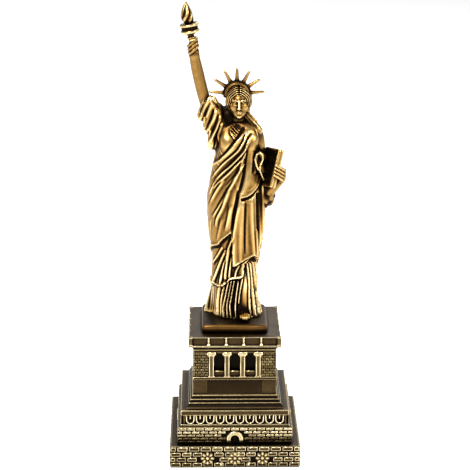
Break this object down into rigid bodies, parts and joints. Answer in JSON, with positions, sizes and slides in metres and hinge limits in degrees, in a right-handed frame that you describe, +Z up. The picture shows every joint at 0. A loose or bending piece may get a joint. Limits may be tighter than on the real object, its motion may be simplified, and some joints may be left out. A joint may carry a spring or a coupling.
{
  "type": "landmark statue souvenir",
  "caption": "Desk souvenir of a robed figure with raised torch, rayed crown and tablet on a tiered square pedestal.",
  "frame": {"origin": "centre of the felt underside, on the table", "axes": "+Z up to the torch; -Y is the front that the figure faces; +X is the side with the tablet"},
  "size_m": [0.072, 0.072, 0.2501],
  "materials": {
    "pedestal_casting": "darkened antique brass plating over a zinc casting",
    "figure_casting": "rubbed antique brass plating over a zinc casting",
    "fastener_steel": "plain zinc plated",
    "card": "matte grey-brown board",
    "felt": "matte dark felt"
  },
  "bodies": {
    "root": {"lower_brick_course": "pedestal_casting", "upper_brick_course": "pedestal_casting", "shield_frieze": "pedestal_casting", "stepped_plinth": "pedestal_casting", "pedestal_shaft": "pedestal_casting", "parapet": "pedestal_casting", "figure_plinth": "figure_casting", "robe_front": "figure_casting", "robe_back": "figure_casting", "head": "figure_casting", "rayed_crown": "figure_casting", "raised_arm": "figure_casting", "torch": "figure_casting", "torch_flame": "figure_casting", "left_forearm": "figure_casting", "tablet": "figure_casting", "tie_rod": "fastener_steel", "tie_rod_washer": "fastener_steel", "tie_rod_nut": "fastener_steel", "figure_screw_front": "fastener_steel", "figure_screw_back": "fastener_steel", "backing_card": "card", "felt_pad": "felt"}
  },
  "joints": []
}
